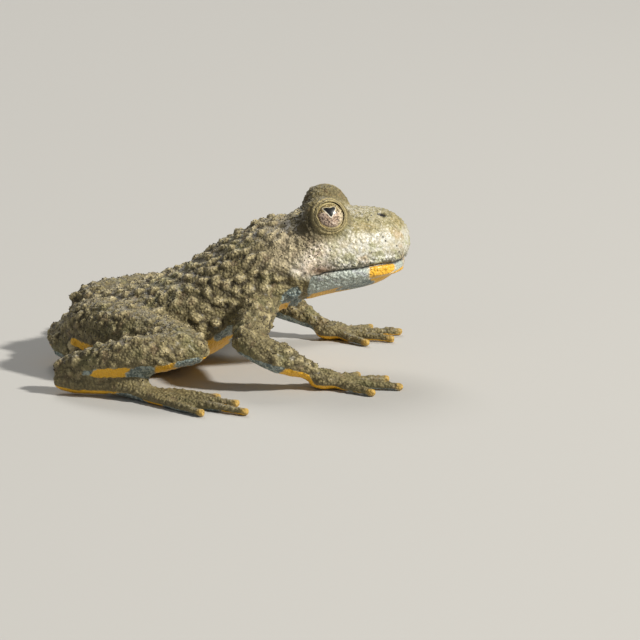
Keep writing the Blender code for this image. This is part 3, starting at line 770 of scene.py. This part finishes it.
def paint_fields(hide, regions, height, tallest):
    """Stores what the skin's material reads: wart height, hollows for painted shade, a painted shadow
    behind the eye bulges and the coloured regions.
    """
    behind, z, lip = regions.behind, regions.height, regions.lip_edge
    head, jaw = regions.head, regions.jaw
    # Wart height: the material paints the tops pale as painted light
    hide.keep("dome", height / tallest)
    # How far each point lies below its smoothed surroundings: where the material paints shade
    hide.keep("hollow_shade", np.clip(hide.softened(height, 8) - height, 0.0, None) / tallest)
    hide.keep("belly", regions.belly)
    retreat = 1.1 * np.clip(z - MOUTH_Z, 0.0, 5.0) + 3.0 * np.clip(MOUTH_Z - 0.3 - z, 0.0, 2.0)
    front = head * step(behind + retreat, 15.2, 11.2)
    hide.keep("snout", np.clip(front * step(regions.eye_distance, 2.2, 3.4), 0.0, 1.0))
    hide.keep("crown", head * step(regions.up, 0.2, 0.75))
    low_cheek = step(z, MOUTH_Z + 5.0, MOUTH_Z + 2.5) * step(z, MOUTH_Z - 1.2, MOUTH_Z + 0.2)
    hide.keep("cheek", low_cheek * ridge(behind - CHEEK, 2.3) * head)
    beside = step(z, MOUTH_Z + 4.8, MOUTH_Z + 3.6) * step(z, MOUTH_Z - 0.6, MOUTH_Z + 0.8)
    hide.keep("neck", beside * ridge(behind - NECK, 2.3) * (head + regions.torso))
    # A painted shadow in the hollow behind each eye bulge, kept off the flat top of the head
    bulge_shadow = ridge(behind - BULGE_SHADOW_BEHIND, 1.5) * ridge(z - MOUTH_Z - 4.6, 1.5)
    hide.keep("bulge_shadow", bulge_shadow * step(regions.up, 0.95, 0.7))
    lip_band = jaw * step(z, lip - 0.5, lip + 0.1)
    hide.keep("jaw_band", lip_band)
    hide.keep("lip_patch", step(behind, 1.2, 2.2) * step(behind, 4.9, 4.0) * lip_band)
    hide.keep("lip_front", step(behind, 1.1, 0.5) * jaw)
    hide.keep("mouth", regions.mouth)
    corner = ridge(behind - JAW_BACK + 1.3, 1.2) * ridge(z - MOUTH_Z, 0.5) * (head + jaw)
    hide.keep("corner", np.clip(corner, 0.0, 1.0))
    hide.keep("upper_lip", head * step(z, MOUTH_Z + 2.0, MOUTH_Z + 0.4) * step(behind, 10.5, 8.0))
    hide.keep("nostril", ridge(regions.nostrils, 0.34))
    hide.keep("lid", step(regions.lid_along, 0.2, 0.5) * step(regions.lid_out, 2.5, 1.9))
    hide.keep("lid_ring", np.minimum(regions.lid_out, 5.0))
    hide.keep("tips", step(regions.tips, 1.4, 0.2))


def skin_material():
    """Moist warty skin: olive above with painted light on the wart tops and painted shade in the hollows,
    pale on the snout, and yellow with slate marks below.
    """
    paint = bpy.context.scene.toad_colours
    g = Graph("moist_toad_skin")
    place = g.place()
    dome, hollow_shade, belly, snout, crown = g.attributes("dome", "hollow_shade", "belly", "snout", "crown")
    jaw, patch, mouth, corner, tips = g.attributes("jaw_band", "lip_patch", "mouth", "corner", "tips")
    cheek, neck, bulge_shadow, lid, ring = g.attributes("cheek", "neck", "bulge_shadow", "lid", "lid_ring")
    upper_lip, lip_front, nostril = g.attributes("upper_lip", "lip_front", "nostril")

    broad = g.noise(place, 0.004, 2.0)
    blotch = g.noise(place, 0.0013, 2.0, 0.6)
    mottle = g.noise(place, 0.0007, 4.0, 0.6)
    grain = g.noise(place, 0.00024, 3.0, 0.65)
    pebble = g.cells(place, 0.0003)
    dots = g.cells(place, 0.0009).rise(0.16, 0.1)

    # Back and limbs
    back = g.blend(mottle.rise(0.3, 0.7), paint.back, [c * 0.6 for c in paint.back])
    # Painted light on the wart tops, mixed with paler tone from the mottling
    back = g.blend((dome + mottle * 0.8 - 0.4).rise(0.05, 0.85) * 0.9, back, paint.wart)
    # Painted shade in the hollows between the warts
    back = g.blend(hollow_shade.rise(0.0, 0.16) * 0.97, back, paint.hollow_shade)
    # Painted shade in the low gaps between the fine pebbles
    back = g.blend(pebble.rise(0.35, 0.75) * 0.45, back, paint.hollow_shade)
    back = g.blend(neck * (0.35 + mottle * 0.5), back, SAND)
    back = g.blend(broad.rise(0.52, 0.72) * 0.4, back, paint.olive)
    back = g.blend(blotch.rise(0.56, 0.7) * 0.35, back, paint.brown)
    # Dark specks of the skin's own, in the painted shade's colour
    back = g.blend(grain.rise(0.56, 0.68) * 0.5, back, paint.hollow_shade)
    # Pale specks of the skin's own, in the wart tops' colour
    back = g.blend(grain.rise(0.42, 0.3) * 0.35, back, paint.wart)

    # Snout, crown and cheek
    pale = g.blend(mottle.rise(0.42, 0.62) * 0.75, paint.snout, DRAB)
    pale = g.blend(blotch.rise(0.5, 0.6) * 0.6, pale, MOSS)
    pale = g.blend(g.noise(place, 0.0024, 2.0).rise(0.56, 0.68) * 0.55, pale, RUST)
    pale = g.blend((crown + (blotch - 0.5) * 0.8).rise(0.2, 0.9) * 0.75, pale, KHAKI)
    pale = g.blend((grain + mottle - 1.0).rise(0.0, 0.1) * crown * 0.6, pale, PEAT)
    pale = g.blend(grain.rise(0.55, 0.66) * 0.6, pale, UMBER)
    pale = g.blend(grain.rise(0.42, 0.32) * 0.5, pale, CHALK)
    # Pale pink specks on the cheek: pink tone and painted highlights on its granules
    pale = g.blend(cheek * grain.rise(0.62, 0.5) * 0.7, pale, BLUSH_AND_HIGHLIGHT)
    pale = g.blend(dots * 0.85, pale, paint.ink)
    upper = g.blend((snout + (blotch - 0.5) * 0.9 + (mottle - 0.5) * 0.5).rise(0.0, 1.0), back, pale)

    # Painted shadow behind the eye bulges, upper lip and lids
    # Painted shadow behind each eye bulge
    upper = g.blend(bulge_shadow * 0.85, upper, paint.hollow_shade)
    upper = g.blend(upper_lip * (grain + mottle - 0.94).rise(-0.03, 0.08) * 0.9, upper, SOOT)
    rings = (ring + (mottle - 0.5) * 0.12).wave(0.2) * lid
    upper = g.blend(lid * (0.35 + grain * 0.5), upper, paint.lid)
    # Dark concentric lines: painted shade of the lids' fine wrinkles
    upper = g.blend(rings.rise(0.5, 0.9) * 0.65, upper, paint.hollow_shade)
    # Painted shade in the crease of the lid fold
    upper = g.blend(ring.ridge(LID_FOLD, 0.1) * lid * 0.7, upper, paint.hollow_shade)
    upper = g.blend(ring.ridge(LID_RIM, 0.2) * lid * 0.85, upper, STRAW)

    # Lower lip and belly
    speckle = (grain + mottle - 1.0).rise(-0.03, 0.08)
    slate = g.blend(speckle * 0.8, paint.slate, paint.fleck)
    slate = g.blend(jaw * (1.0 - grain.rise(0.45, 0.6) * 0.5), slate, MIST)
    slate = g.blend(grain.rise(0.56, 0.64) * jaw * 0.7, slate, PITCH)
    slate = g.blend(blotch.rise(0.56, 0.66) * jaw * 0.5, slate, LILAC)
    marks = (g.noise(place, 0.0042, 1.5, 0.4) + (mottle - 0.5) * 0.1).rise(0.49, 0.53)
    under = g.blend(marks, paint.yellow, slate)
    under = g.blend(grain.rise(0.5, 0.75) * 0.2, under, APRICOT)

    # The whole, with uneven edges between the regions
    edge = (mottle - 0.5) * 0.6
    ragged = (g.noise(place, 0.0022, 3.0, 0.6) - 0.5) * 1.8
    result = g.blend((belly + (edge + ragged) * belly.rise(0.0, 0.35)).rise(0.35, 0.6), upper, under)
    result = g.blend((jaw + edge * 0.6).rise(0.3, 0.6), result, slate)
    result = g.blend((patch + edge * 0.9).rise(0.1, 0.45) * 0.7, result, BUFF)
    result = g.blend((patch + edge * 0.9).rise(0.42, 0.66), result, paint.yellow)
    result = g.blend((lip_front + edge * 1.2).rise(0.1, 1.0) * 0.7, result, TAWNY)
    result = g.blend((tips + edge * 1.4).rise(0.2, 1.1) * 0.7, result, OCHRE)
    result = g.blend(corner * 0.9, result, paint.brown)
    result = g.blend(mouth.rise(0.25, 0.8) * 0.85, result, paint.ink)
    result = g.blend(nostril.rise(0.2, 0.5), result, paint.ink)

    # Fine relief and gloss
    pebbled = grain * 0.7 - pebble * (1.5 - snout * 0.8)
    relief = pebbled + mottle * 1.2 * (snout * 0.7 + 0.3) + rings * 0.5
    g.bump(relief, distance=0.00014, strength=0.8)
    wet = (snout * 0.22 + jaw * 0.4 + belly * 0.25 + 0.15).least(1.0)
    roughness = (0.68 - snout * 0.25 - jaw * 0.2 + grain * 0.1).most(0.3)
    return g.finish(Base_Color=result, Roughness=roughness, Coat_Weight=wet, Coat_Roughness=0.3)


def finished(obj, material, slot, *nodes):
    """Gives a piece its material, brings it to metres and ties it to the frame."""
    obj.data.materials.clear()
    obj.data.materials.append(material)
    obj.data.transform(Matrix.Scale(MM, 4))
    obj.data.shade_smooth()
    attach(obj, "root")
    if nodes:
        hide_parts(*nodes)


def pick_sites(regions, tree, places, radii, rng):
    """Points of the skin for spicules: several round the tip of a large wart, one on some small ones."""
    horny = regions.head * step(regions.behind, 5.0, 11.0) * step(regions.eye_distance, 2.6, 4.0)
    horny = (horny + regions.torso + regions.limbs) * step(regions.up, -0.4, 0.1) * 0.8
    sites = set()
    for place, radius in zip(places, radii):
        many = rng.integers(1, 4) + radius * 4 if radius > 0.25 else rng.random() < 0.3
        for _ in range(int(many)):
            site = tree.find(place + rng.normal(size=3) * radius * 0.36)[1]
            if horny[site] > rng.random():
                sites.add(site)
    return sorted(sites)


def spicules_on(places, normals, radius, rng):
    """Low blunt cones with their roots in the skin, all copies of one."""
    bpy.ops.object.select_all(action="DESELECT")
    bpy.ops.mesh.primitive_cone_add(
        vertices=6, radius1=1.15, radius2=0.35, depth=1.5, location=(0, 0, 0.05)
    )
    cone = bpy.context.object
    shape = np.array([cone.matrix_world @ v.co for v in cone.data.vertices])
    rings = [list(p.vertices) for p in cone.data.polygons]
    bpy.data.objects.remove(cone)
    corners, faces = [], []
    for place, normal in zip(places, normals):
        turned = np.array(Vector(normal).to_track_quat("Z", "Y").to_matrix())
        start = len(corners)
        corners += list(place + shape @ turned.T * radius * rng.uniform(0.75, 1.3))
        faces += [[start + i for i in ring] for ring in rings]
    mesh = bpy.data.meshes.new("spicules")
    mesh.from_pydata(corners, [], faces)
    return linked("spicules", mesh)


class TOAD_OT_skin(bpy.types.Operator):
    """Grow one warty skin over all the flesh, and the dark spicules on its warts"""

    bl_idname = "toad.skin"
    bl_label = "Skin"

    def execute(self, context):
        settings = context.scene.toad_skin
        closing = settings.closing / MM
        skin = closed_skin(settings.grain / MM, closing)
        hide = Hide(skin)
        hide.soften(3)
        hide.push(np.full(hide.count, -closing))
        hide.store()
        x, y, z = hide.places.T
        refine(skin, (SNOUT_X - x < JAW_BACK + 2.0) & (np.abs(y - MIDDLE) < 9.0) & (z > 6.6))

        hide = Hide(skin)
        hide.soften(2)
        regions = Regions(hide)
        first, relief = even_out(hide, regions, settings.sinking / MM)
        trim_bulges(hide, regions)
        rounding = heel_rounding(hide, regions)
        rng = np.random.default_rng(settings.seed)
        places, radii, shares = scatter_warts(hide, regions, first, relief, rng)
        tree = hide.tree()
        tallest = settings.wart_height / MM
        heights = tallest * shares * radii / FULL_RADIUS
        height = raise_warts(hide, tree, places, radii, heights, rng)
        shape_face(hide, regions, settings.mouth_depth / MM, settings.nostril_depth / MM)
        hide.push(height)
        roughen(hide, regions)
        shape_lids(hide, regions)
        hide.places += rounding
        hide.places[:, 2] = hide.places[:, 2].clip(0.0)
        normals = hide.normals()
        paint_fields(hide, regions, height, tallest)

        sites = pick_sites(regions, tree, places, radii, rng)
        spicules = spicules_on(hide.places[sites], normals[sites], settings.spicule / MM, rng)
        thin_out(skin, settings.most_triangles)
        finished(skin, skin_material(), "warty_skin", *FLESH)
        horn = Graph("dark_horn").finish(Base_Color=HORN, Roughness=0.4)
        finished(spicules, horn, "warty_skin")
        print(hide.count, "points,", len(places), "warts,", len(first), "of the solids")
        print(len(sites), "spicules")
        return {"FINISHED"}


def eye_material():
    """A speckled iris with a golden edge and a dark heart-shaped pupil with a pale rim, all wet."""
    eye = bpy.context.scene.toad_eyes
    g = Graph("toad_eye")
    local = g.attribute("eye_place", "Vector")
    across = g.node("ShaderNodeSeparateXYZ", inputs={0: local}, output=0)
    upward = g.node("ShaderNodeSeparateXYZ", inputs={0: local}, output=1)
    lifted = upward / eye.aspect
    out = (across * across + lifted * lifted) ** 0.5
    iris_edge, half_pupil = eye.iris / MM, eye.pupil / MM

    # Iris
    vermicules = g.noise(local, 0.2, 4.0, 0.8)
    clouds = g.noise(local, 0.5, 2.0, 0.5)
    low = (upward + (clouds - 0.5) * 0.9).rise(0.6, 0.0)
    base = g.blend(low, eye.bronze, eye.copper)
    base = g.blend((across + (clouds - 0.5) * 1.1 - 0.35).rise(0.0, 0.7), base, eye.cream)
    base = g.blend(vermicules.rise(0.46, 0.36) * 0.8, base, g.blend(low, eye.gold, PEACH))
    base = g.blend(vermicules.rise(0.49, 0.56) * 0.95, base, eye.dark)
    cleft = (across + eye.pupil_back / MM).ridge(0.04, 0.07)
    cleft = cleft * upward.rise(0.2, 0.0) * upward.rise(-1.0, -0.6)
    base = g.blend(cleft * 0.8, base, eye.dark)

    base = g.blend(out.ridge(iris_edge - 0.05, 0.07) * 0.75, base, eye.dark)
    base = g.blend(out.ridge(iris_edge + 0.16, 0.2) * 0.9, base, eye.gold)
    # Painted shade on the eyeball next to and under the lids
    base = g.blend(out.rise(iris_edge + 0.34, iris_edge + 0.44), base, eye.dark)

    # Pupil, whose three sides meet in rounded corners
    x = (across + eye.pupil_back / MM) / half_pupil
    y = (upward - eye.pupil_rise / MM) / half_pupil
    corner = 0.42
    top = y - 0.62 + x.ridge(0.0, 0.5) * 0.1
    back = x * -0.87 - y * 0.55 - 0.5
    front = x * 0.87 - y * 0.55 - 0.5
    inside = sum((side.most(-corner) + corner) ** 3 for side in (top, back, front)) ** (1 / 3) - corner
    pale = inside.ridge(0.07, 0.09) * (0.35 + y.rise(0.7, 0.0) * 0.65)
    result = g.blend(pale, base, IVORY)
    result = g.blend(inside.rise(0.04, -0.02), result, BLACK)
    return g.finish(Base_Color=result, Roughness=0.35, Coat_Weight=1.0, Coat_Roughness=0.02)


class TOAD_OT_eyes(bpy.types.Operator):
    """Make both eyes with iris and pupil"""

    bl_idname = "toad.eyes"
    bl_label = "Eyes"

    def execute(self, context):
        material = eye_material()
        for side, centre in EYES.items():
            bpy.ops.object.select_all(action="DESELECT")
            bpy.ops.mesh.primitive_uv_sphere_add(segments=96, ring_count=64, radius=EYE_RADIUS)
            eye = context.object
            eye.name = eye.data.name = side + "_eye"
            local = np.array([v.co for v in eye.data.vertices]) * (-SIDES[side], 1.0, 1.0)
            attribute = eye.data.attributes.new("eye_place", "FLOAT_VECTOR", "POINT")
            attribute.data.foreach_set("vector", local.astype(np.float32).ravel())
            eye.data.transform(Matrix.Translation(centre) @ eye_axes(side).to_4x4())
            finished(eye, material, "eye", "eye_" + side)
        return {"FINISHED"}


def soft_light(name, place, size, power, tint):
    """A round area light that points at the toad."""
    data = bpy.data.lights.new(name, "AREA")
    data.shape = "DISK"
    data.size = size
    data.energy = power
    data.color = tint
    light = linked(name, data)
    light.location = place
    light.rotation_euler = (AIM - Vector(place)).to_track_quat("-Z", "Y").to_euler()


def add_camera(settings):
    """The camera of the picture: its height, scale and direction put the snout's tip at its pixel."""
    down, level = math.sin(settings.elevation), math.cos(settings.elevation)
    look, rise = Vector((0, level, -down)), Vector((0, down, level))
    tip = Vector((SNOUT_X, MIDDLE, MOUTH_Z + TIP_RISE)) * MM
    right = (settings.tip_pixel[0] - PICTURE / 2) / settings.scale * MM
    above = (PICTURE / 2 - settings.tip_pixel[1]) / settings.scale * MM
    data = bpy.data.cameras.new("camera")
    data.sensor_width = 36.0
    data.lens = data.sensor_width * settings.distance * settings.scale / (PICTURE * MM)
    data.clip_start = 0.01
    camera = linked("camera", data)
    camera.location = tip - Vector((right, 0, 0)) - rise * above - look * settings.distance
    camera.rotation_euler = look.to_track_quat("-Z", "Y").to_euler()
    bpy.context.scene.camera = camera


class TOAD_OT_stage(bpy.types.Operator):
    """Set the floor, the lights and the camera"""

    bl_idname = "toad.stage"
    bl_label = "Stage"

    def execute(self, context):
        settings = context.scene.toad_stage
        bpy.ops.object.select_all(action="DESELECT")
        bpy.ops.mesh.primitive_plane_add(size=4.0)
        floor = context.object
        floor.name = "floor"
        pale = Graph("pale_floor").finish(Base_Color=(*settings.floor, 1.0), Roughness=0.85)
        floor.data.materials.append(pale)

        soft_light("key", (0.79, -0.37, 0.67), 0.10, settings.key, WARM)
        soft_light("fill", (-0.45, -0.70, 0.40), 0.60, settings.fill, COOL)
        soft_light("rim", (-0.15, 0.70, 0.65), 0.40, settings.rim, MILD)
        world = bpy.data.worlds.new("studio")
        context.scene.world = world
        world.use_nodes = True
        background = world.node_tree.nodes["Background"]
        background.inputs["Color"].default_value = HAZE
        background.inputs["Strength"].default_value = settings.sky
        add_camera(settings)
        context.scene.view_settings.view_transform = "Standard"
        return {"FINISHED"}


PIECES = {
    "toad_skin": (SkinSettings, "toad.skin"),
    "toad_colours": (SkinColours, None),
    "toad_eyes": (EyeSettings, "toad.eyes"),
    "toad_stage": (StageSettings, "toad.stage"),
}


class TOAD_PT_panel(bpy.types.Panel):
    """Sizes, colours and pieces of the toad"""

    bl_label = "Toad"
    bl_idname = "TOAD_PT_panel"
    bl_space_type = "VIEW_3D"
    bl_region_type = "UI"
    bl_category = "Toad"

    def draw(self, context):
        for group, (kind, operator) in PIECES.items():
            for name in kind.__annotations__:
                self.layout.prop(getattr(context.scene, group), name)
            if operator:
                self.layout.operator(operator)


CLASSES = (
    *(kind for kind, _ in PIECES.values()),
    TOAD_OT_skin,
    TOAD_OT_eyes,
    TOAD_OT_stage,
    TOAD_PT_panel,
)


def register():
    for cls in CLASSES:
        bpy.utils.register_class(cls)
    for name, (kind, _) in PIECES.items():
        setattr(bpy.types.Scene, name, bpy.props.PointerProperty(type=kind))


def unregister():
    for name in PIECES:
        delattr(bpy.types.Scene, name)
    for cls in reversed(CLASSES):
        bpy.utils.unregister_class(cls)


def main():
    register()
    bpy.ops.object.select_all(action="DESELECT")
    bpy.ops.toad.skin()
    bpy.ops.toad.eyes()
    bpy.ops.toad.stage()


if __name__ == "__main__":
    main()
